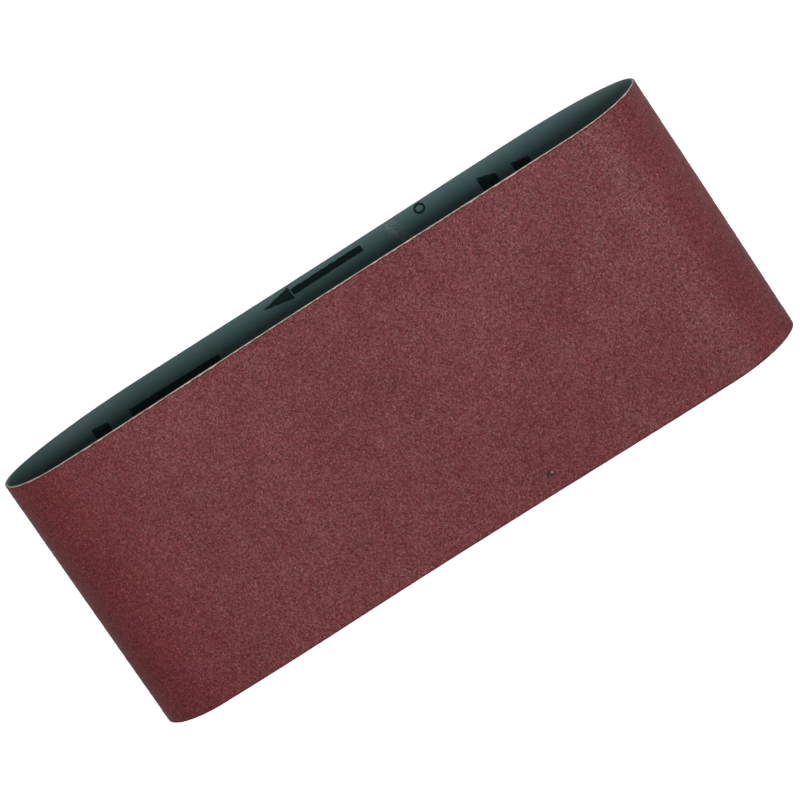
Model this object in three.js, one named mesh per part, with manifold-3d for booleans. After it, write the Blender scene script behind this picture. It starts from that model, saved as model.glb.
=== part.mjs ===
// Endless sanding belt, standing on one edge.
// Millimetres. +X runs along the flattened loop, +Y from its front run to its rear run, and
// +Z across the belt's width. The origin is under the middle of the loop, on the standing edge.
import * as THREE from "three";
import { mergeVertices } from "three/addons/utils/BufferGeometryUtils.js";
import Module from "manifold-3d";

// Driving dimensions of the loop
const BELT_WIDTH = 100;
const BACK_LENGTH = 560; // once round the back face
const HALF_DEPTH = 26.2; // from the loop's long axis to the back face of either run
const FRONT_SHOULDER = 24.5; // how far each front corner's quarter ellipse reaches along X
const REAR_SHOULDER = 50; // the same for the rear corners, which are slacker
const STEPS_PER_CORNER = 18;

// Thickness of each layer, from the inside of the loop outwards
const BACK_COAT = 0.05;
const CLOTH = 0.5;
const MAKE_COAT = 0.08;
const GRAIN = 0.18;
const SIZE_COAT = 0.06;

// The skived lap joint in the rear run
const LAP_CENTRE = 49; // X at half the belt's width
const LAP_LENGTH = 10;
const LAP_LEAN = -0.32; // change of X for each millimetre up
const LAP_GAP = 0.3; // between a skived end and the full strip it butts against
const SKIVED_EDGE = 0.15; // thickness left at the tip of each skived end
const FILM = 0.05; // thickness of the adhesive film
const BARE_STRIP = 0.6; // strip of cloth left without back coat at the inner end

// Ink, let into windows of the back coat; places are measured along the back face from the middle
// of the rear run, to the right
const WINDOW_GAP = 0.3; // round each mark
const WINDOW_REACH = 1; // of the cutters, past the coat on both sides
const ARROW = {
  tip: -24,
  headLength: 11.3,
  headHeight: 4.7,
  gap: 0.4,
  tail: 16.3,
  shaftHeight: 2.4,
  middle: 96.8,
};
const BLOCKS = [
  { name: "small", from: 38.2, to: 42.5, bottom: 95.9, top: 99.4 },
  { name: "square", from: 62.2, to: 68.7, bottom: 87.5, top: 95.6 },
  { name: "tall", from: 74.9, to: 81.4, bottom: 85.5, top: 93.4 },
  { name: "end", from: -97.7, to: -91.5, bottom: 86.5, top: 94.4 },
  { name: "long", from: -83, to: -46, bottom: 88, top: 92.8 },
];

const MATERIALS = {
  cloth: { color: 0xcdbb9d, roughness: 0.95, metalness: 0 },
  backCoat: { color: 0x334a48, roughness: 0.8, metalness: 0 },
  makeCoat: { color: 0x6b2f2a, roughness: 0.6, metalness: 0 },
  grain: { color: 0x6f3b3e, roughness: 0.75, metalness: 0 },
  sizeCoat: { color: 0x7a4449, roughness: 0.45, metalness: 0 },
  adhesive: { color: 0xb9a673, roughness: 0.5, metalness: 0 },
  ink: { color: 0x0b1312, roughness: 0.7, metalness: 0 },
};

// Ramanujan's second approximation, for a quarter of the ellipse.
function quarterEllipseLength(a, b) {
  const h = ((a - b) / (a + b)) ** 2;
  return (Math.PI / 4) * (a + b) * (1 + (3 * h) / (10 + Math.sqrt(4 - 3 * h)));
}

// The straight runs take up whatever the four corners leave of the belt's length.
const CORNERS_LENGTH =
  2 * quarterEllipseLength(FRONT_SHOULDER, HALF_DEPTH) +
  2 * quarterEllipseLength(REAR_SHOULDER, HALF_DEPTH);
const HALF_LENGTH = (BACK_LENGTH - CORNERS_LENGTH + 2 * FRONT_SHOULDER + 2 * REAR_SHOULDER) / 4;

// One corner of the back face, as { point, normal } from angle `from` to angle `to` on its ellipse.
function corner(shoulder, side, from, to) {
  const stations = [];
  for (let i = 0; i <= STEPS_PER_CORNER; i += 1) {
    const angle = THREE.MathUtils.lerp(from, to, i / STEPS_PER_CORNER);
    const centre = side * (HALF_LENGTH - shoulder);
    const point = new THREE.Vector2(
      centre + shoulder * Math.cos(angle),
      HALF_DEPTH * Math.sin(angle),
    );
    const normal = new THREE.Vector2(
      HALF_DEPTH * Math.cos(angle),
      shoulder * Math.sin(angle),
    ).normalize();
    stations.push({ point, normal });
  }
  return stations;
}

// The back face from the rear run round the left end, the front run and the right end to the
// rear run again. A corner's last station and the next corner's first share the loop's tip.
const ROUND = [
  ...corner(REAR_SHOULDER, -1, Math.PI / 2, Math.PI),
  ...corner(FRONT_SHOULDER, -1, Math.PI, 1.5 * Math.PI).slice(1),
  ...corner(FRONT_SHOULDER, 1, 1.5 * Math.PI, 2 * Math.PI),
  ...corner(REAR_SHOULDER, 1, 2 * Math.PI, 2.5 * Math.PI).slice(1),
];

// A point `outward` of a station, along its normal.
function offsetPoint(station, outward) {
  return station.point.clone().addScaledVector(station.normal, outward);
}

// A point of the rear run.
function rearPoint(x, outward) {
  return new THREE.Vector2(x, HALF_DEPTH + outward);
}

// The whole way round at one offset, from startX on the rear run to endX on it.
function roundLoop(outward, startX, endX) {
  const way = ROUND.map((station) => offsetPoint(station, outward));
  return [rearPoint(startX, outward), ...way, rearPoint(endX, outward)];
}

function extrude(outline, height) {
  return new THREE.ExtrudeGeometry(new THREE.Shape(outline), {
    depth: height,
    bevelEnabled: false,
  });
}

const wasm = await Module();
wasm.setup();

// A closed geometry as a manifold-3d solid.
function solidOf(geometry) {
  const bare = geometry.clone();
  bare.deleteAttribute("normal");
  bare.deleteAttribute("uv");
  const merged = mergeVertices(bare);
  const triVerts = new Uint32Array(merged.index.array);
  const vertProperties = merged.getAttribute("position").array;
  return new wasm.Manifold(new wasm.Mesh({ numProp: 3, vertProperties, triVerts }));
}

function geometryOf(solid) {
  const { vertProperties, triVerts } = solid.getMesh();
  const geometry = new THREE.BufferGeometry();
  geometry.setAttribute("position", new THREE.BufferAttribute(vertProperties, 3));
  geometry.setIndex(new THREE.BufferAttribute(triVerts, 1));
  geometry.computeVertexNormals();
  return geometry;
}

// Leans everything inside the lap's window of the rear run, so the joint crosses the belt aslant.
function leanLap(geometry) {
  const position = geometry.getAttribute("position");
  const reach = LAP_LENGTH / 2 + LAP_GAP + BARE_STRIP;
  for (let i = 0; i < position.count; i += 1) {
    const inWindow = Math.abs(position.getX(i) - LAP_CENTRE) <= reach && position.getY(i) > 0;
    if (inWindow) {
      position.setX(i, position.getX(i) + LAP_LEAN * (position.getZ(i) - BELT_WIDTH / 2));
    }
  }
  geometry.computeVertexNormals();
  return geometry;
}

function mesh(name, geometry, look) {
  const made = new THREE.Mesh(geometry, new THREE.MeshStandardMaterial(MATERIALS[look]));
  made.name = name;
  return made;
}

// The outline of a coat that lies between two offsets and stops short of the lap line by `bare`.
function coatOutline(inner, outer, leftX, rightX) {
  return [...roundLoop(inner, leftX, rightX), ...roundLoop(outer, leftX, rightX).reverse()];
}

// A skived end's sloping side, from the back face outwards.
function skivedSide(x, lift) {
  const half = LAP_LENGTH / 2;
  return [
    rearPoint(x - half, 0),
    rearPoint(x - half, SKIVED_EDGE + lift),
    rearPoint(x + half, CLOTH - SKIVED_EDGE - FILM + lift),
    rearPoint(x + half, CLOTH),
  ];
}

const UNDER_SIDE = skivedSide(LAP_CENTRE, 0); // of the end that comes from the right, underneath
const OVER_SIDE = skivedSide(LAP_CENTRE - LAP_GAP, FILM); // of the end from the left, over it

function clothBacking() {
  const back = ROUND.map((station) => offsetPoint(station, 0));
  const front = ROUND.map((station) => offsetPoint(station, CLOTH)).reverse();
  const outline = [...back, ...UNDER_SIDE, ...front, ...OVER_SIDE.toReversed()];
  return mesh("cloth_backing", leanLap(extrude(outline, BELT_WIDTH)), "cloth");
}

function lapAdhesive() {
  const outline = [...UNDER_SIDE, ...OVER_SIDE.toReversed()];
  return mesh("lap_adhesive", leanLap(extrude(outline, BELT_WIDTH)), "adhesive");
}

// The three coats on the outside end at the lap's outer line.
function outerCoat(name, inner, thickness, look) {
  const seam = LAP_CENTRE + LAP_LENGTH / 2;
  const outline = coatOutline(inner, inner + thickness, seam - LAP_GAP, seam);
  return mesh(name, leanLap(extrude(outline, BELT_WIDTH)), look);
}

// The printed face, cut into stations with their distance along it from the middle of the rear
// run, going right round to the left: a place p and p + BACK_LENGTH are the same.
function printedStations() {
  const middle = { point: rearPoint(0, 0), normal: new THREE.Vector2(0, 1) };
  const loop = [middle, ...ROUND.toReversed(), middle];
  let distance = 0;
  return loop.map((station, i) => {
    distance += i > 0 ? station.point.distanceTo(loop[i - 1].point) : 0;
    return { ...station, distance };
  });
}

const PRINTED = printedStations();
const PRINTED_LENGTH = PRINTED[PRINTED.length - 1].distance;

// The printed face between two stations, at a place along it.
function printedStation(place) {
  const next = Math.max(1, PRINTED.findIndex((station) => station.distance >= place));
  const [a, b] = [PRINTED[next - 1], PRINTED[next]];
  const share = (place - a.distance) / (b.distance - a.distance);
  return {
    point: a.point.clone().lerp(b.point, share),
    normal: a.normal.clone().lerp(b.normal, share),
  };
}

// A mark is a function that gives its solid between two offsets from the back face, with a margin
// added all round. This one is a rectangle that follows the face.
function blockMark({ from, to, bottom, top }, shift) {
  return (inner, outer, margin) => {
    const start = THREE.MathUtils.euclideanModulo(from + shift - margin, PRINTED_LENGTH);
    const end = start + to - from + 2 * margin;
    const between = PRINTED.filter(({ distance }) => distance > start && distance < end);
    const way = [printedStation(start), ...between, printedStation(end)];
    const outline = [
      ...way.map((station) => offsetPoint(station, inner)),
      ...way.map((station) => offsetPoint(station, outer)).reverse(),
    ];
    return extrude(outline, top - bottom + 2 * margin).translate(0, 0, bottom - margin);
  };
}

// A mark on the flat of a run. `cornersFor` gives its [x, z] corners on the rear run for a margin.
function flatMark(cornersFor, turn) {
  return (inner, outer, margin) => {
    const outline = cornersFor(margin).map(([x, z]) => new THREE.Vector2(x, z));
    return extrude(outline, outer - inner)
      .rotateX(Math.PI / 2)
      .translate(0, HALF_DEPTH + outer, 0)
      .rotateZ(turn);
  };
}

function headCorners(margin) {
  const { tip, headLength, headHeight, middle } = ARROW;
  const slope = headHeight / 2 / headLength;
  const point = tip - margin / slope;
  const base = tip + headLength + margin;
  const halfBase = (base - point) * slope;
  return [
    [point, middle],
    [base, middle - halfBase],
    [base, middle + halfBase],
  ];
}

function shaftCorners(margin) {
  const { tip, headLength, gap, tail, shaftHeight, middle } = ARROW;
  const from = tip + headLength + gap - margin;
  const to = tail + margin;
  const half = shaftHeight / 2 + margin;
  return [
    [from, middle - half],
    [to, middle - half],
    [to, middle + half],
    [from, middle + half],
  ];
}

// One set of print: an arrow that shows which way the belt runs, and the blocks.
function printSet(suffix, turn) {
  const shift = (turn / (2 * Math.PI)) * PRINTED_LENGTH;
  return [
    ["arrow_head_" + suffix, flatMark(headCorners, turn)],
    ["arrow_shaft_" + suffix, flatMark(shaftCorners, turn)],
    ...BLOCKS.map((block) => ["ink_" + block.name + "_" + suffix, blockMark(block, shift)]),
  ];
}

// The print comes twice in one turn of the belt.
const MARKS = [...printSet("rear", 0), ...printSet("front", Math.PI)];

function inkMarks() {
  return MARKS.map(([name, mark]) => mesh(name, mark(-BACK_COAT, 0, 0), "ink"));
}

// The dark coat on the back, which leaves each mark its window.
function backCoat() {
  const seam = LAP_CENTRE - LAP_LENGTH / 2;
  const outline = coatOutline(-BACK_COAT, 0, seam - LAP_GAP, seam + BARE_STRIP);
  const coat = solidOf(leanLap(extrude(outline, BELT_WIDTH)));
  const windowed = MARKS.reduce((rest, [, mark]) => {
    const cutter = mark(-BACK_COAT - WINDOW_REACH, WINDOW_REACH, WINDOW_GAP);
    return rest.subtract(solidOf(cutter));
  }, coat);
  return mesh("back_coat", geometryOf(windowed), "backCoat");
}

const belt = new THREE.Group();
belt.add(
  clothBacking(),
  backCoat(),
  lapAdhesive(),
  outerCoat("make_coat", CLOTH, MAKE_COAT, "makeCoat"),
  outerCoat("abrasive_grain", CLOTH + MAKE_COAT, GRAIN, "grain"),
  outerCoat("size_coat", CLOTH + MAKE_COAT + GRAIN, SIZE_COAT, "sizeCoat"),
  ...inkMarks(),
);

export default belt;
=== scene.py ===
import math

import bpy
import numpy as np
from mathutils import Matrix, Vector


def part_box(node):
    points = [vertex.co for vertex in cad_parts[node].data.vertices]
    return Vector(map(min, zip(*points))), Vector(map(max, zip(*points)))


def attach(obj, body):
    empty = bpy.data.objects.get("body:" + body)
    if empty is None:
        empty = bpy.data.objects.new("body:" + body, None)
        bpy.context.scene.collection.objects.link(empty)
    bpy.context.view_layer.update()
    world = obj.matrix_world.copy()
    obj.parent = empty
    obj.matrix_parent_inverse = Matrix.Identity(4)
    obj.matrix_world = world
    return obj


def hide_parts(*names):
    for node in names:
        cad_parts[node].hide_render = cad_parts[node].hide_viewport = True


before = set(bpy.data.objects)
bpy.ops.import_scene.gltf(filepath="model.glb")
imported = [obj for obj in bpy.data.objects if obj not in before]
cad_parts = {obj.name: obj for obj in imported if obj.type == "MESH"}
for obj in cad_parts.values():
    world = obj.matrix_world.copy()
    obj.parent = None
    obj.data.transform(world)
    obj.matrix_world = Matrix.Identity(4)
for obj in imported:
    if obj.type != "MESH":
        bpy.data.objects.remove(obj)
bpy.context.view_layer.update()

MM = 0.001
RNG = np.random.default_rng(20)

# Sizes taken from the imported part: half its back face's length, half its depth and its width,
# and how far out from that face each layer reaches
HALF_LENGTH, HALF_DEPTH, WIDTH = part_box("back_coat")[1] / MM
CLOTH, MAKE_TOP, GRAIN_TOP = (
    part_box(name)[1].x / MM - HALF_LENGTH
    for name in ("cloth_backing", "make_coat", "abrasive_grain")
)

INSIDE = -0.05  # the inner face of the back coat
FRONT_SHOULDER = 24.5  # reach along X of each front corner's quarter ellipse
REAR_SHOULDER = 50  # and of each rear corner's

# How the limp belt relaxes from that outline: each half run bulges out, and the middle draws in
BULGES = {"front_left": 1.28, "front_right": 0.59, "rear_left": 1.29, "rear_right": 0.35}
BULGE_SKEW = 1.3
PINCHES = {"front": 1.16, "rear": 0.16}
WAVE = 0.12  # how far the whole strip waves in and out
LEAN_BACK = (0.23, -1.58)  # the standing edge's move along X and Y as the belt leans back

# The skived lap joint in the rear run
LAP_CENTRE = 49
LAP_LENGTH = 10
LAP_LEAN = -0.32  # change of place for each millimetre up
LAP_FADE = 60  # the lean dies away this far from the joint
LAP_GAP = 0.05  # left open at the coats' butt joint and at the strip's outer end
LAP_RIDGE = 0.1  # how far the joint stands out
SKIVED_TIP = 0.15  # thickness left at a skived end
FILM = 0.05  # thickness of the adhesive
SKIVE_SLOPE = (CLOTH - 2 * SKIVED_TIP - FILM) / LAP_LENGTH

WEFT_PITCH = 0.66
WARP_PITCH = 0.36
HIDDEN_ROWS = 12  # rows of points up a face that isn't seen
NO_SEAM = 1000.0  # the distance from the seam that a piece without a seam is given
FIELD_REACH = 699  # a random field starts again after this place
FIELD_MARGIN = 10  # and it goes on this far past both edges of the belt


# ---------------------------------------------------------------------------------------------
# Camera


def add_camera():
    """The camera: a long lens from the front, a little to the right and above, and rolled."""
    azimuth, elevation, roll = (math.radians(angle) for angle in (8.105, 12.03, 34.146))
    distance = 1.6118
    slide_right, slide_up = 0.001318, -0.000027
    back = Vector(
        (
            math.sin(azimuth) * math.cos(elevation),
            -math.cos(azimuth) * math.cos(elevation),
            math.sin(elevation),
        )
    )
    right = Vector((math.cos(azimuth), math.sin(azimuth), 0))
    up = back.cross(right)
    target = Vector((0, 0, WIDTH * MM / 2))
    data = bpy.data.cameras.new("camera")
    data.lens = 213.23
    data.sensor_width = 36
    data.clip_end = 100
    camera = bpy.data.objects.new("camera", data)
    rolled_right = right * math.cos(roll) - up * math.sin(roll)
    rolled_up = right * math.sin(roll) + up * math.cos(roll)
    turn = Matrix((rolled_right, rolled_up, back)).transposed().to_4x4()
    place = target + back * distance + right * slide_right + up * slide_up
    camera.matrix_world = Matrix.Translation(place) @ turn
    bpy.context.scene.collection.objects.link(camera)
    bpy.context.scene.camera = camera


# ---------------------------------------------------------------------------------------------
# The belt's surface


def smoothstep(x):
    x = np.clip(x, 0, 1)
    return x * x * (3 - 2 * x)


def random_field(pitch_along, pitch_up):
    """A smooth random value from -1 to 1 at any place and height, on a lattice of that pitch."""
    columns = int((FIELD_REACH + 1) / pitch_along) + 2
    rows = int((WIDTH + 2 * FIELD_MARGIN) / pitch_up) + 2
    lattice = RNG.uniform(-1, 1, (columns, rows))

    def value(place, height):
        along = np.mod(np.asarray(place, float), FIELD_REACH) / pitch_along
        up = np.clip((np.asarray(height, float) + FIELD_MARGIN) / pitch_up, 0, rows - 1.001)
        i, j = along.astype(int), up.astype(int)
        u, v = smoothstep(along - i), smoothstep(up - j)
        low = lattice[i, j] * (1 - u) + lattice[i + 1, j] * u
        high = lattice[i, j + 1] * (1 - u) + lattice[i + 1, j + 1] * u
        return low * (1 - v) + high * v

    return value


def arc(shoulder, side, start, end, steps=400):
    """One corner of the back face: its quarter ellipse, between two angles in quarter turns."""
    angle = np.linspace(start, end, steps) * math.pi / 2
    centre = side * (HALF_LENGTH - shoulder)
    return np.column_stack([centre + shoulder * np.cos(angle), HALF_DEPTH * np.sin(angle)])


def evenly(points, pitch=0.25):
    """The same closed outline with its points at an even pitch, and its length."""
    closed = np.vstack([points, points[:1]])
    distance = np.r_[0, np.cumsum(np.hypot(*np.diff(closed, axis=0).T))]
    at = np.linspace(0, distance[-1], round(distance[-1] / pitch), endpoint=False)
    return np.column_stack([np.interp(at, distance, column) for column in closed.T]), distance[-1]


def normals(points):
    along = np.roll(points, -1, axis=0) - np.roll(points, 1, axis=0)
    out = np.column_stack([-along[:, 1], along[:, 0]])
    return out / np.hypot(*out.T)[:, None]


def relaxation(points):
    """How far out each point moves from the plain outline as the limp belt settles."""
    x, y = points.T
    share = np.clip(np.abs(x) / HALF_LENGTH, 0, 1)
    front = y < 0
    bulge = np.select(
        [front & (x < 0), front, x < 0],
        [BULGES["front_left"], BULGES["front_right"], BULGES["rear_left"]],
        BULGES["rear_right"],
    )
    pinch = np.where(front, PINCHES["front"], PINCHES["rear"])
    swell = bulge * np.sin(math.pi * share**BULGE_SKEW) ** 2
    return swell - pinch * np.cos(math.pi / 2 * share) ** 2


def belt_outline():
    """The relaxed outline of the back face, with its points at an even pitch, and its length."""
    plain, _ = evenly(
        np.vstack(
            [
                [[0, HALF_DEPTH]],
                arc(REAR_SHOULDER, 1, 1, 0),
                arc(FRONT_SHOULDER, 1, 0, -1)[1:],
                arc(FRONT_SHOULDER, -1, -1, -2),
                arc(REAR_SHOULDER, -1, 2, 1)[1:],
            ]
        )
    )
    relaxed = plain + normals(plain) * relaxation(plain)[:, None]
    return evenly(relaxed)


OUTLINE, LENGTH = belt_outline()
OUTLINE_NORMALS = normals(OUTLINE)
OUTLINE_PLACES = np.arange(len(OUTLINE)) * LENGTH / len(OUTLINE)
RIGHT_END, LEFT_END = LENGTH / 4, LENGTH * 3 / 4  # about where the loop's two ends are
wave = random_field(90, 70)
BLEMISH = (LENGTH / 2 - 33.4, 6.9)  # place and height of a lost clump of grains


def on_belt(place, height, outward):
    """The points, in metres, of the belt's (place, height, outward)."""
    place, height, outward = np.broadcast_arrays(place, height, outward)
    out = outward + WAVE * wave(np.mod(place, LENGTH), height)

    def around(column):
        return np.interp(place, OUTLINE_PLACES, column, period=LENGTH)

    down = 1 - height / WIDTH
    x = around(OUTLINE[:, 0]) + out * around(OUTLINE_NORMALS[:, 0]) + LEAN_BACK[0] * down
    y = around(OUTLINE[:, 1]) + out * around(OUTLINE_NORMALS[:, 1]) + LEAN_BACK[1] * down
    return np.stack([x, y, height], axis=-1) * MM


def seam_place(line, height, travelled=0.0):
    """The place `travelled` further than `line`. It leans with the joint when it is near it."""
    lean = LAP_LEAN * (height - WIDTH / 2)
    near = np.minimum(travelled, LENGTH - travelled)
    return line + travelled + lean * (1 - smoothstep(near / LAP_FADE))


# ---------------------------------------------------------------------------------------------
# Making pieces


def add_piece(name, points, faces, material, unrolled=None, smooth=True):
    """A mesh that rides on the belt. `unrolled` keeps each point's place on the flat strip."""
    mesh = bpy.data.meshes.new(name)
    mesh.from_pydata(points.reshape(-1, 3).tolist(), [], faces)
    mesh.materials.append(material)
    mesh.polygons.foreach_set("use_smooth", np.full(len(mesh.polygons), smooth))
    if unrolled is not None:
        attribute = mesh.attributes.new("unrolled", "FLOAT_VECTOR", "POINT")
        attribute.data.foreach_set("vector", unrolled.astype(np.float32).ravel())
    mesh.update()
    piece = bpy.data.objects.new(name, mesh)
    bpy.context.scene.collection.objects.link(piece)
    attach(piece, "root")
    return piece


def sweep(name, place, height, outward, material, seam=None, smooth=True):
    """A closed strip. Each row of the arrays is the ring of its section at one station."""
    place, height, outward = np.broadcast_arrays(place, height, outward)
    stations, ring = place.shape
    index = np.arange(stations * ring).reshape(stations, ring)
    above = np.roll(index, -1, axis=1)
    quads = np.stack([index[:-1], above[:-1], above[1:], index[1:]], axis=-1)
    caps = [index[0, ::-1].tolist(), index[-1].tolist()]
    from_seam = np.broadcast_to(NO_SEAM if seam is None else seam, place.shape)
    unrolled = np.stack([place, height, from_seam], axis=-1)
    return add_piece(
        name,
        on_belt(place, height, outward),
        quads.reshape(-1, 4).tolist() + caps,
        material,
        unrolled,
        smooth,
    )


def coat(name, line, pitch, outer, inner, rows, look, trim=None):
    """A coat that goes once round from the seam at `line`, between two offsets.

    `outer` and `inner` give the offset at a place and height, `rows` how many rows of points each
    of the two faces has, and `trim` how far in from the belt's edge the coat stops at a place.
    """
    reach = LENGTH - LAP_GAP
    travelled = np.linspace(0, reach, round(reach / pitch))[:, None]
    up = np.r_[np.linspace(0, 1, rows[0]), np.linspace(1, 0, rows[1])][None, :]
    is_outer = (np.arange(up.size) < rows[0])[None, :]
    place = seam_place(line, up * WIDTH, travelled)
    low, high = (0, WIDTH) if trim is None else (trim(place, 0), WIDTH - trim(place, WIDTH))
    height = low + up * (high - low)
    outward = np.where(is_outer, outer(place, height), inner(place, height))
    seam = np.minimum(travelled, reach - travelled)
    return sweep(name, place, height, outward, look, seam)


# ---------------------------------------------------------------------------------------------
# Materials


def node(tree, kind, inputs=None, **settings):
    """A shader node with its inputs set, each to a value or to another node's socket."""
    made = tree.nodes.new("ShaderNode" + kind)
    for name, value in settings.items():
        setattr(made, name, value)
    for name, value in (inputs or {}).items():
        if isinstance(value, bpy.types.NodeSocket):
            tree.links.new(value, made.inputs[name])
        else:
            made.inputs[name].default_value = value
    return made


def noise(tree, vector, scale, detail=2.0, roughness=0.5):
    inputs = {"Vector": vector, "Scale": scale, "Detail": detail, "Roughness": roughness}
    return node(tree, "TexNoise", inputs).outputs["Fac"]


def math_node(tree, operation, a, b=0.0):
    return node(tree, "Math", {0: a, 1: b}, operation=operation).outputs[0]


def remap(tree, value, low, high, to_low, to_high):
    inputs = {
        "Value": value,
        "From Min": low,
        "From Max": high,
        "To Min": to_low,
        "To Max": to_high,
    }
    return node(tree, "MapRange", inputs).outputs["Result"]


def mix(tree, factor, a, b, blend="MIX"):
    made = node(tree, "Mix", {"Factor": factor}, data_type="RGBA", blend_type=blend)
    for socket, value in ((made.inputs[6], a), (made.inputs[7], b)):
        if isinstance(value, bpy.types.NodeSocket):
            tree.links.new(value, socket)
        else:
            socket.default_value = (*value, 1)
    return made.outputs[2]


def bump(tree, height, strength, distance, normal=None):
    inputs = {"Height": height, "Strength": strength, "Distance": distance * MM}
    if normal is not None:
        inputs["Normal"] = normal
    return node(tree, "Bump", inputs).outputs["Normal"]


def new_material(name, **values):
    """A material, its node tree and its shader, with uniform values set on the shader itself."""
    material = bpy.data.materials.new(name)
    material.use_nodes = True
    tree = material.node_tree
    shader = tree.nodes["Principled BSDF"]
    for socket, value in values.items():
        shader.inputs[socket.replace("_", " ")].default_value = value
    return material, tree, shader


def unrolled_vector(tree):
    """The place and height on the flat strip, and the distance from the seam."""
    return node(tree, "Attribute", attribute_name="unrolled").outputs["Vector"]


def gap_along(tree, place, line):
    return math_node(tree, "ABSOLUTE", math_node(tree, "SUBTRACT", place, line))


def blemish(tree, flat, clumps, colour):
    """The colour with the lost clump's dark spot in it, and a pale chip inside the spot."""
    on_face = node(tree, "VectorMath", {0: flat, 1: (1, 1, 0)}, operation="MULTIPLY").outputs[0]

    def away_from(place, height):
        points = {0: on_face, 1: (place, height, 0)}
        return node(tree, "VectorMath", points, operation="DISTANCE").outputs["Value"]

    uneven = remap(tree, clumps, 0.3, 0.7, -0.5, 0.5)
    bare = remap(tree, math_node(tree, "ADD", away_from(*BLEMISH), uneven), 0.7, 1.6, 0.85, 0)
    colour = mix(tree, bare, colour, (0.012, 0.004, 0.005))
    chipped = remap(tree, away_from(BLEMISH[0] - 0.8, BLEMISH[1] + 0.2), 0.2, 0.5, 0.7, 0)
    return mix(tree, chipped, colour, (0.3, 0.17, 0.165))


def glaze(tree, flat, place, grain, clumps, mottle):
    """How much the resin shines: unevenly from grain to grain, and less near the loop's ends."""
    weight = remap(tree, clumps, 0.35, 0.65, 0.01, 0.47)
    gains = [
        remap(tree, grain, 0, 1, 0.3, 1.7),
        remap(tree, mottle, 0.3, 0.7, 0.82, 1.12),
        remap(tree, noise(tree, flat, 0.12, 2.0, 0.5), 0.3, 0.7, 0.75, 1.15),
        remap(tree, gap_along(tree, place, LEFT_END), 24, 58, 0.15, 1),
        remap(tree, gap_along(tree, place, RIGHT_END), 6, 26, 0.35, 1),
    ]
    for gain in gains:
        weight = math_node(tree, "MULTIPLY", weight, gain)
    return weight


def grit_material(name, tone, roughness, domed):
    """Red-brown grit under resin: a shade for each grain, clumps, mottling, a few odd specks and a
    painted contact shadow along the lower edge.

    `domed` gives each grain a rounded top, on a skin whose mesh doesn't show single grains.
    """
    material, tree, shader = new_material(name, Specular_IOR_Level=0.02, Coat_Roughness=0.39)
    flat = unrolled_vector(tree)
    parts = node(tree, "SeparateXYZ", {"Vector": flat}).outputs
    cells = node(tree, "TexVoronoi", {"Vector": flat, "Scale": 2.6, "Randomness": 1.0})
    per_grain = node(tree, "SeparateColor", {"Color": cells.outputs["Color"]}).outputs
    clumps = noise(tree, flat, 1.1, 3.0, 0.6)
    mottle = noise(tree, flat, 0.035, 3.0, 0.55)
    dark, light = (tuple(channel * gain for channel in tone) for gain in (0.42, 1.58))
    colour = mix(tree, remap(tree, per_grain["Red"], 0, 1, 0.12, 0.88), dark, light)
    clump_gain = remap(tree, clumps, 0.3, 0.7, 0.82, 1.18)
    mottle_gain = remap(tree, mottle, 0.3, 0.7, 0.94, 1.06)
    gain = math_node(tree, "MULTIPLY", clump_gain, mottle_gain)
    grey = node(tree, "CombineColor", {"Red": gain, "Green": gain, "Blue": gain}).outputs["Color"]
    colour = mix(tree, 1.0, colour, grey, "MULTIPLY")
    pink = remap(tree, per_grain["Green"], 0.93, 0.95, 0, 0.3)
    colour = mix(tree, pink, colour, (0.32, 0.11, 0.115))
    black = remap(tree, per_grain["Blue"], 0.94, 0.96, 0, 0.5)
    colour = mix(tree, black, colour, (0.03, 0.008, 0.009))
    colour = blemish(tree, flat, clumps, colour)
    # Painted shadow: the grit is darkened to near black over its lowest 0.8 mm, a contact shadow
    # along the lower edge.
    painted_contact_shadow = remap(tree, parts["Y"], 0.2, 0.8, 0.7, 0)
    colour = mix(tree, painted_contact_shadow, colour, (0.02, 0.01, 0.012))
    tree.links.new(colour, shader.inputs["Base Color"])
    weight = glaze(tree, flat, parts["X"], per_grain["Green"], clumps, mottle)
    tree.links.new(weight, shader.inputs["Coat Weight"])
    rough = remap(tree, per_grain["Green"], 0, 1, roughness - 0.12, roughness + 0.12)
    tree.links.new(rough, shader.inputs["Roughness"])
    if domed:
        domes = remap(tree, cells.outputs["Distance"], 0, 0.6, 1, 0)
        normal = bump(tree, domes, 0.55, 0.12)
        normal = bump(tree, clumps, 0.4, 0.15, normal)
        tree.links.new(normal, shader.inputs["Normal"])
        tree.links.new(normal, shader.inputs["Coat Normal"])
    return material


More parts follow.
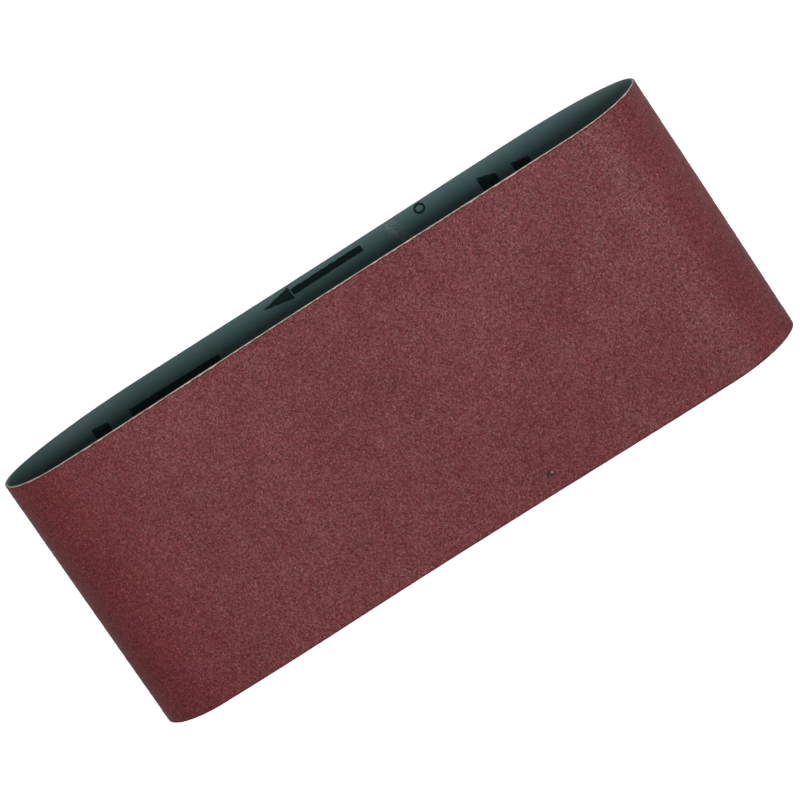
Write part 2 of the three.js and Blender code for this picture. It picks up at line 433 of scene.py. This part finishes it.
def back_material():
    """The dark blue-green filled cloth on the inside, with the twill showing through, painted shade
    towards the loop's left end and painted light towards its right end.
    """
    material, tree, shader = new_material("back_coat", Specular_IOR_Level=0.5)
    flat = unrolled_vector(tree)
    parts = node(tree, "SeparateXYZ", {"Vector": flat}).outputs
    turned = node(tree, "Mapping", {"Vector": flat, "Rotation": (0, 0, math.radians(58))})
    waves = {"Vector": turned.outputs[0], "Scale": 0.36, "Distortion": 1.2, "Detail": 1.5}
    twill = node(tree, "TexWave", waves).outputs["Fac"]
    wear = noise(tree, flat, 0.9, 4.0, 0.6)
    mottle = noise(tree, flat, 0.05, 3.0, 0.5)
    worn = remap(tree, wear, 0.3, 0.7, 0, 1)
    colour = mix(tree, worn, (0.05, 0.106, 0.096), (0.072, 0.142, 0.13))
    colour = mix(tree, remap(tree, twill, 0, 1, 0, 0.35), colour, (0.035, 0.08, 0.072))
    colour = mix(tree, remap(tree, mottle, 0.35, 0.65, 0, 0.5), colour, (0.06, 0.115, 0.125))
    # Painted shade: the inside is drawn darker towards the loop's left end, in place of the light
    # falling off there.
    painted_shade_left_end = remap(tree, gap_along(tree, parts["X"], LEFT_END), 25, 120, 0.55, 0)
    colour = mix(tree, painted_shade_left_end, colour, (0.01, 0.03, 0.026))
    # Painted light: the inside is drawn paler towards the loop's right end, as if more light
    # reached it there.
    paler = remap(tree, gap_along(tree, parts["X"], RIGHT_END), 0, 60, 0.5, 0)
    colour = mix(tree, paler, colour, (0.13, 0.2, 0.18))
    beside_seam = remap(tree, parts["Z"], 0.4, 3.5, 0.9, 0)
    dots = remap(tree, noise(tree, flat, 1.2, 3.0, 0.6), 0.45, 0.62, 0, 0.7)
    scuffed = math_node(tree, "MULTIPLY", beside_seam, dots)
    colour = mix(tree, scuffed, colour, (0.26, 0.29, 0.28))
    tree.links.new(colour, shader.inputs["Base Color"])
    tree.links.new(remap(tree, wear, 0.3, 0.7, 0.52, 0.68), shader.inputs["Roughness"])
    normal = bump(tree, twill, 0.5, 0.05)
    normal = bump(tree, wear, 0.35, 0.06, normal)
    tree.links.new(normal, shader.inputs["Normal"])
    return material


def cloth_material():
    """Undyed cotton and polyester, seen at the cut edges."""
    material, tree, shader = new_material("cloth", Roughness=0.9, Specular_IOR_Level=0.2)
    flat = unrolled_vector(tree)
    ends = node(tree, "TexVoronoi", {"Vector": flat, "Scale": 1 / WARP_PITCH})
    fibres = noise(tree, flat, 3.5, 4.0, 0.6)
    paler = remap(tree, fibres, 0.3, 0.7, 0, 1)
    colour = mix(tree, paler, (0.356, 0.262, 0.245), (0.55, 0.44, 0.415))
    tint = node(tree, "SeparateColor", {"Color": ends.outputs["Color"]}).outputs["Red"]
    colour = mix(tree, remap(tree, tint, 0.7, 1.0, 0, 0.35), colour, (0.36, 0.2, 0.17))
    tree.links.new(colour, shader.inputs["Base Color"])
    normal = bump(tree, fibres, 0.6, 0.08)
    tree.links.new(normal, shader.inputs["Normal"])
    return material


def resin_material(name, pale, deep, roughness):
    """A plain resin with a little cloudiness, for the make coat and the joint's film."""
    material, tree, shader = new_material(name, Specular_IOR_Level=0.45)
    flat = unrolled_vector(tree)
    cloud = noise(tree, flat, 1.5, 3.0, 0.6)
    colour = mix(tree, remap(tree, cloud, 0.3, 0.7, 0, 1), deep, pale)
    tree.links.new(colour, shader.inputs["Base Color"])
    rough = remap(tree, cloud, 0.3, 0.7, roughness - 0.1, roughness + 0.1)
    tree.links.new(rough, shader.inputs["Roughness"])
    tree.links.new(bump(tree, cloud, 0.4, 0.05), shader.inputs["Normal"])
    return material


def ink_material(name, worn):
    """Black printing ink, worn through to the coat where the cloth's high threads rub."""
    material, tree, shader = new_material(name, Specular_IOR_Level=0.08)
    flat = unrolled_vector(tree)
    rubbed = noise(tree, flat, 2.2, 4.0, 0.65)
    through = remap(tree, rubbed, 0.5, 0.68, worn * 0.15, worn)
    colour = mix(tree, through, (0.002, 0.007, 0.0065), (0.045, 0.095, 0.085))
    tree.links.new(colour, shader.inputs["Base Color"])
    tree.links.new(remap(tree, rubbed, 0.3, 0.7, 0.55, 0.8), shader.inputs["Roughness"])
    tree.links.new(bump(tree, rubbed, 0.3, 0.04), shader.inputs["Normal"])
    return material


# ---------------------------------------------------------------------------------------------
# The belt's pieces

weft_end = random_field(WEFT_PITCH, 50)
rim_fuzz = random_field(0.25, 50)
chip = random_field(0.9, 50)
long_chip = random_field(7, 50)


def rim_height(place, across):
    """How far the cut cloth stands above its lowest point: an end of weft for every pitch."""
    yarn = np.abs(np.sin(math.pi * place / WEFT_PITCH))
    tall = 0.05 + 0.05 * weft_end(place, 0) + 0.02 * rim_fuzz(place, 20 * across)
    rounded = 1 - (2 * across - 1) ** 2
    return 0.06 * rounded + tall * yarn * (0.4 + 0.6 * rounded)


RIM_TOP = 0.25  # more than any rim_height


def cloth_strip(material):
    """The woven strip with its two skived ends and its cut rims."""
    rim_rows = 5
    lap_pitch, pitch = 0.5, 0.17
    travelled = np.r_[
        np.arange(0, LAP_LENGTH, lap_pitch),
        LAP_LENGTH,
        np.arange(LAP_LENGTH + 0.02, LENGTH - 0.05, pitch),
        np.arange(LENGTH, LENGTH + LAP_LENGTH - LAP_GAP, lap_pitch),
    ][:, None]
    top = np.where(travelled <= LAP_LENGTH, SKIVED_TIP + SKIVE_SLOPE * travelled, CLOTH)
    past = travelled - LENGTH
    bottom = np.where(past >= 0, SKIVED_TIP + FILM + SKIVE_SLOPE * past, 0)
    across = np.linspace(0, 1, rim_rows + 2)[1:-1]
    share = np.r_[np.ones(HIDDEN_ROWS), across[::-1], np.zeros(HIDDEN_ROWS), across][None, :]
    up = np.r_[
        np.linspace(0, 1, HIDDEN_ROWS),
        np.ones(rim_rows),
        np.linspace(1, 0, HIDDEN_ROWS),
        np.zeros(rim_rows),
    ][None, :]
    lean = LAP_LEAN * (up * WIDTH - WIDTH / 2)
    near = np.minimum(travelled, np.abs(LENGTH - travelled))
    near = np.where(past > 0, 0, near)
    start = LAP_CENTRE - LAP_LENGTH / 2
    place = start + travelled + lean * (1 - smoothstep(near / LAP_FADE))
    stand = RIM_TOP - rim_height(place, share)
    height = stand + up * (WIDTH - 2 * stand)
    outward = bottom + share * (top - bottom)
    return sweep("cloth_strip", place, height, outward, material)


def edge_fibres(name, count, side, material):
    """Short hairs of cotton that stand out from a cut rim."""
    segments, sides = 4, 3
    thickness = 0.016
    root = 0.2  # how deep in the rim a hair starts
    place = RNG.uniform(0, LENGTH, count)[:, None]
    out = RNG.uniform(0.02, CLOTH + 0.1, count)[:, None]
    length = RNG.gamma(2.2, 0.22, count).clip(0.15, 1.6)[:, None]
    turn = RNG.uniform(0, 2 * math.pi, count)[:, None]
    rise = RNG.uniform(0.1, 0.9, count)[:, None]
    curl = RNG.normal(0, 0.9, count)[:, None]
    t = np.linspace(0, 1, segments + 1)[None, :]
    heading = turn + curl * t
    line_place = place + length * t * np.cos(heading)
    line_out = out + 0.5 * length * t * np.sin(heading)
    line_up = length * rise * t * (1 - 0.45 * t)
    radius = thickness * (1 - 0.6 * t)[..., None]
    spoke = np.arange(sides) * 2 * math.pi / sides
    ring_place = line_place[..., None] + radius * np.cos(spoke)
    ring_out = line_out[..., None] + radius * np.sin(spoke)
    ring_up = np.broadcast_to(line_up[..., None], ring_place.shape)
    upper = WIDTH - root + ring_up
    lower = np.maximum(0.25 - 0.25 * ring_up, 0.01)  # pressed flat, and clear of the floor
    height = upper if side > 0 else lower
    index = np.arange(count * (segments + 1) * sides).reshape(count, segments + 1, sides)
    beside = np.roll(index, -1, axis=2)
    quads = np.stack([index[:, :-1], beside[:, :-1], beside[:, 1:], index[:, 1:]], axis=-1)
    caps = [*index[:, 0, ::-1].tolist(), *index[:, -1].tolist()]
    unrolled = np.stack([ring_place, height, np.full(height.shape, NO_SEAM)], axis=-1)
    points = on_belt(ring_place, height, ring_out)
    faces = quads.reshape(-1, 4).tolist() + caps
    return add_piece(name, points, faces, material, unrolled.reshape(-1, 3))


def coat_trim(place, edge):
    """How far in from the cut edge the brittle outer coats stop: most of all at the upper edge."""
    fine = 0.5 + 0.5 * chip(place, edge)
    coarse = 0.5 + 0.5 * long_chip(place, edge)
    upper = 0.36 + 0.34 * fine**2 * (0.4 + coarse)
    return np.where(np.asarray(edge) > 0, upper, 0.3 * upper)


grain_relief = random_field(0.62, 0.62)
clump_relief = random_field(1.9, 1.9)


def lap_ridge(place, height, line):
    """How far the joint stands out, on a ridge along `line`."""
    away = place - line - LAP_LEAN * (height - WIDTH / 2)
    return LAP_RIDGE * np.exp(-((away / 3.0) ** 2))


def grit_surface(place, height):
    """The outer face of the size coat: it drapes over the grains below it."""
    depth, radius = 0.2, 0.9
    from_pit = (place - BLEMISH[0]) ** 2 + (height - BLEMISH[1]) ** 2
    lap = lap_ridge(place, height, LAP_CENTRE) - depth * np.exp(-from_pit / radius**2)
    return GRAIN_TOP + 0.06 * grain_relief(place, height) + 0.04 * clump_relief(place, height) + lap


def back_surface(place, height):
    """The inner face of the back coat, with the twill standing in it."""
    twill = np.sin(2 * math.pi * (place / 1.3 + height / 0.9))
    return INSIDE - 0.006 * twill - 0.3 * lap_ridge(place, height, LAP_CENTRE - 4)


def level(offset):
    return lambda place, height: np.full(np.broadcast(place, height).shape, offset)


def grain_crystals(count, material):
    """Sharp crystals that break through the size coat, each a rough four-sided splinter."""
    corners = np.array([(1, 1, 1), (1, -1, -1), (-1, 1, -1), (-1, -1, 1)]) / math.sqrt(3)
    sides = np.array([(0, 1, 2), (0, 3, 1), (0, 2, 3), (1, 3, 2)])
    spin = RNG.normal(size=(count, 4))
    w, x, y, z = (spin / np.linalg.norm(spin, axis=1)[:, None]).T
    turn = np.empty((count, 3, 3))
    turn[:, 0] = np.stack([1 - 2 * (y * y + z * z), 2 * (x * y - z * w), 2 * (x * z + y * w)], -1)
    turn[:, 1] = np.stack([2 * (x * y + z * w), 1 - 2 * (x * x + z * z), 2 * (y * z - x * w)], -1)
    turn[:, 2] = np.stack([2 * (x * z - y * w), 2 * (y * z + x * w), 1 - 2 * (x * x + y * y)], -1)
    size = RNG.gamma(6, 0.034, count).clip(0.09, 0.42)
    stretch = RNG.uniform(0.6, 1.25, (count, 1, 3))
    jitter = RNG.uniform(-0.25, 0.25, (count, 4, 3))
    shard = (corners[None] + jitter) * stretch * size[:, None, None]
    shard = np.einsum("nij,nkj->nki", turn, shard)
    place = RNG.uniform(0, LENGTH - 0.8, count)
    height = RNG.uniform(0.5, WIDTH - 0.5, count)
    line = LAP_CENTRE + LAP_LENGTH / 2
    place = seam_place(line, height, place + 0.4)
    reach = np.abs(shard[..., 1]).max(axis=1)
    sunk = grit_surface(place, height) + RNG.uniform(0.02, 0.1, count) - 0.8 * reach
    along, out, up = np.moveaxis(shard, -1, 0)
    points = on_belt(place[:, None] + along, height[:, None] + up, sunk[:, None] + out)
    faces = (np.arange(count)[:, None, None] * 4 + sides[None]).reshape(-1, 3).tolist()
    centre = np.stack([place, height, np.full(count, NO_SEAM)], axis=-1)
    unrolled = np.repeat(centre, 4, axis=0)
    return add_piece("grain_crystals", points, faces, material, unrolled, False)


def lap_film(material):
    """The adhesive between the two skived ends."""
    inset = 0.3  # from the belt's cut edges
    start = LAP_CENTRE - LAP_LENGTH / 2
    travelled = np.linspace(0.02, LAP_LENGTH - LAP_GAP - 0.02, 20)[:, None]
    up = np.r_[np.linspace(0, 1, HIDDEN_ROWS), np.linspace(1, 0, HIDDEN_ROWS)][None, :]
    height = inset + up * (WIDTH - 2 * inset)
    share = np.r_[np.full(HIDDEN_ROWS, 0.9), np.full(HIDDEN_ROWS, 0.1)][None, :]
    place = seam_place(start, height, travelled)
    outward = SKIVED_TIP + SKIVE_SLOPE * travelled + FILM * share
    return sweep("lap_film", place, height, outward, material)


# The print on the back face. Its places are for the rear run; the front run's are half a turn on
ARROW_TIP, ARROW_NECK, ARROW_TAIL, ARROW_MIDDLE = -24, -12.7, 16.3, 96.8
ARROW_HEAD, ARROW_SHAFT, ARROW_BREAK = 4.7, 2.4, 0.4
BLOCKS = {  # from, to, bottom, top where it starts, top where it ends
    "square": (62.2, 68.7, 87.5, 95.6, 93.6),
    "tall": (74.9, 81.4, 85.5, 93.4, 92.4),
    "end": (-97.7, -91.5, 86.5, 94.4, 93.4),
    "long": (-83, -46, 88, 92.8, 92.4),
}
RING = (38.2, 42.5, 95.5, 99.4)  # from, to, bottom, top
RING_STROKE = 0.85
INK_OUTER, INK_INNER = 0.01, -0.02  # the ink's two faces, out from the back coat's inner face
ragged = random_field(0.5, 0.5)


def ink_mark(name, node_name, start, end, low, high, material):
    """A film of ink between two places. `low` and `high` give its edges' heights at a place."""
    pitch, rows, raggedness = 0.3, 10, 0.14
    columns = max(3, round((end - start) / pitch))
    along = np.linspace(0, 1, columns)[:, None]
    up = np.r_[np.linspace(0, 1, rows), np.linspace(1, 0, rows)][None, :]
    outer = (np.arange(2 * rows) < rows)[None, :]
    plain_place = start + along * (end - start)
    bottom, top = low(plain_place), high(plain_place)
    height = bottom + up * (top - bottom)
    rim = np.maximum(np.abs(2 * along - 1), np.abs(2 * up - 1)) ** 12
    place = plain_place + raggedness * rim * ragged(plain_place, height)
    height = height + raggedness * rim * ragged(plain_place + 50, height)
    outward = back_surface(place, height) + np.where(outer, INK_OUTER, INK_INNER)
    piece = sweep(name, place, height, outward, material)
    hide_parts(node_name)
    return piece


def ink_ring(suffix, shift, material):
    """An open ring of ink, almost closed."""
    start, end, bottom, top = RING
    gap, steps = 0.02, 60
    angle = np.linspace(gap, 2 * math.pi - gap, steps)[:, None]
    across = np.array([0, 0.5, 1, 1, 0.5, 0])[None, :]
    inner = (np.arange(6) < 3)[None, :]
    reach, rise = (end - start) / 2, (top - bottom) / 2
    wobble = 0.08 * ragged(20 * angle, 10 * across)
    place = (start + end) / 2 + shift + (reach - RING_STROKE * across + wobble) * np.cos(angle)
    height = (bottom + top) / 2 + (rise - RING_STROKE * across + wobble) * np.sin(angle)
    outward = back_surface(place, height) + np.where(inner, INK_INNER, INK_OUTER)
    piece = sweep("ring_ink_" + suffix, place, height, outward, material)
    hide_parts("ink_small_" + suffix)
    return piece


def print_set(suffix, shift, inks):
    """One run's print: the arrow's head and shaft, the four blocks and the ring."""

    def even(value):
        return lambda place: np.full(np.shape(place), value)

    def sloping(start, end, first, last):
        return lambda place: first + (last - first) * (place - start) / (end - start)

    def head_half(place):
        share = (place - shift - ARROW_TIP) / (ARROW_NECK - ARROW_TIP)
        return blunt + (ARROW_HEAD / 2 - blunt) * share

    blunt = 0.1  # half the width of the arrow's tip
    pieces = [
        ink_mark(
            "arrow_head_ink_" + suffix,
            "arrow_head_" + suffix,
            ARROW_TIP + shift,
            ARROW_NECK + shift,
            lambda place: ARROW_MIDDLE - head_half(place),
            lambda place: ARROW_MIDDLE + head_half(place),
            inks["worn"],
        ),
        ink_mark(
            "arrow_shaft_ink_" + suffix,
            "arrow_shaft_" + suffix,
            ARROW_NECK + ARROW_BREAK + shift,
            ARROW_TAIL + shift,
            even(ARROW_MIDDLE - ARROW_SHAFT / 2),
            even(ARROW_MIDDLE + ARROW_SHAFT / 2),
            inks["fresh"],
        ),
    ]
    for name, (start, end, bottom, top, end_top) in BLOCKS.items():
        pieces.append(
            ink_mark(
                f"block_{name}_ink_{suffix}",
                f"ink_{name}_{suffix}",
                start + shift,
                end + shift,
                even(bottom),
                sloping(start + shift, end + shift, top, end_top),
                inks["rubbed"],
            )
        )
    pieces.append(ink_ring(suffix, shift, inks["rubbed"]))
    return pieces


def add_belt():
    grit = grit_material("size_coat", (0.0895, 0.0166, 0.0183), 0.6, True)
    crystal = grit_material("grain", (0.098, 0.021, 0.0245), 0.5, False)
    cloth = cloth_material()
    make_resin = resin_material("make_coat", (0.16, 0.045, 0.035), (0.1, 0.022, 0.018), 0.55)
    joint_resin = resin_material("joint_adhesive", (0.5, 0.36, 0.16), (0.3, 0.19, 0.08), 0.45)
    inks = {
        "fresh": ink_material("ink", 0.25),
        "worn": ink_material("worn_ink", 0.6),
        "rubbed": ink_material("rubbed_ink", 0.75),
    }

    outer_line = LAP_CENTRE + LAP_LENGTH / 2
    inner_line = LAP_CENTRE - LAP_LENGTH / 2
    strip = cloth_strip(cloth)
    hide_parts("cloth_backing")
    skin = coat(
        "size_coat_skin",
        outer_line,
        0.7,
        grit_surface,
        level(MAKE_TOP + 0.02),
        (144, HIDDEN_ROWS),
        grit,
        coat_trim,
    )
    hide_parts("size_coat")
    make = coat(
        "make_coat_bed",
        outer_line,
        1.0,
        level(MAKE_TOP),
        level(CLOTH + 0.01),
        (HIDDEN_ROWS, HIDDEN_ROWS),
        make_resin,
        lambda place, edge: coat_trim(place, edge) * 1.1,
    )
    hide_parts("make_coat")
    crystals = grain_crystals(48000, crystal)
    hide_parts("abrasive_grain")
    back = coat(
        "back_coat_skin",
        inner_line,
        0.5,
        level(-0.01),
        back_surface,
        (HIDDEN_ROWS, 120),
        back_material(),
        lambda place, edge: 0.15 + 0.15 * coat_trim(place, edge),
    )
    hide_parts("back_coat")
    film = lap_film(joint_resin)
    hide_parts("lap_adhesive")
    marks = print_set("rear", 0, inks) + print_set("front", LENGTH / 2, inks)
    fibres = [
        edge_fibres("edge_fibres_upper", 2200, 1, cloth),
        edge_fibres("edge_fibres_lower", 1200, -1, cloth),
    ]


# ---------------------------------------------------------------------------------------------
# Floor and light


def floor_material(name, glow):
    pale, white = (0.9, 0.9, 0.9, 1), (1, 1, 1, 1)
    material, _, _ = new_material(
        name,
        Roughness=0.9,
        Specular_IOR_Level=0.0,
        Base_Color=pale,
        Emission_Color=white,
        Emission_Strength=glow,
    )
    return material


def add_floor():
    """A pale floor, parted under the belt: it glows outside the loop and hardly inside it."""
    reach, steps = 6.0, 720
    place = np.linspace(0, LENGTH, steps, endpoint=False)
    edge = on_belt(place, 0, CLOTH / 2)
    far = edge / np.linalg.norm(edge, axis=1)[:, None] * reach
    index = np.arange(len(edge))
    after = np.roll(index, -1)
    outside = np.stack([index, after, after + len(edge), index + len(edge)], axis=-1)
    mesh = bpy.data.meshes.new("floor")
    faces = [*outside.tolist(), index[::-1].tolist()]
    mesh.from_pydata(np.vstack([edge, far]).tolist(), [], faces)
    mesh.materials.append(floor_material("floor", 0.85))
    mesh.materials.append(floor_material("floor_inside", 0.08))
    mesh.polygons[len(outside)].material_index = 1
    floor = bpy.data.objects.new("floor", mesh)
    bpy.context.scene.collection.objects.link(floor)


def add_world():
    """A soft studio: brightest low down, most of all behind the belt and least at its two ends."""
    world = bpy.data.worlds.new("studio")
    world.use_nodes = True
    tree = world.node_tree
    direction = node(tree, "TexCoord").outputs["Generated"]
    parts = node(tree, "SeparateXYZ", {"Vector": direction}).outputs
    fall = math_node(tree, "MULTIPLY", math_node(tree, "MAXIMUM", parts["Z"], 0.0), -17.0)
    low_band = math_node(tree, "MULTIPLY", math_node(tree, "EXPONENT", fall), 10.0)
    squared = math_node(tree, "MULTIPLY", parts["Y"], parts["Y"])
    facing = math_node(tree, "ADD", math_node(tree, "MULTIPLY", squared, 0.4), 0.32)
    facing = math_node(tree, "ADD", facing, math_node(tree, "MULTIPLY", parts["Y"], -0.15))
    facing = math_node(tree, "ADD", facing, math_node(tree, "MULTIPLY", parts["X"], -0.03))
    facing = math_node(tree, "ADD", facing, math_node(tree, "MAXIMUM", parts["Y"], 0.0))
    band = math_node(tree, "MULTIPLY", low_band, facing)
    strength = math_node(tree, "ADD", band, 0.2)
    background = tree.nodes["Background"]
    background.inputs["Color"].default_value = (1, 1, 1, 1)
    tree.links.new(strength, background.inputs["Strength"])
    bpy.context.scene.world = world


def add_soft_panel(name, place, size, energy):
    """A soft light that faces the belt. The camera doesn't see the panel itself."""
    data = bpy.data.lights.new(name, "AREA")
    data.shape = "RECTANGLE"
    data.size, data.size_y = size
    data.energy = energy
    data.color = (0.86, 0.94, 1.0)
    light = bpy.data.objects.new(name, data)
    light.location = place
    towards = Vector((0, 0, WIDTH * MM / 2)) - Vector(place)
    light.rotation_euler = towards.to_track_quat("-Z", "Y").to_euler()
    light.visible_camera = False
    bpy.context.scene.collection.objects.link(light)


add_camera()
add_belt()
add_floor()
add_world()
add_soft_panel("right_panel", (0.6, -1.48, 0.165), (0.8, 0.31), 21.0)
bpy.context.scene.view_settings.view_transform = "Standard"
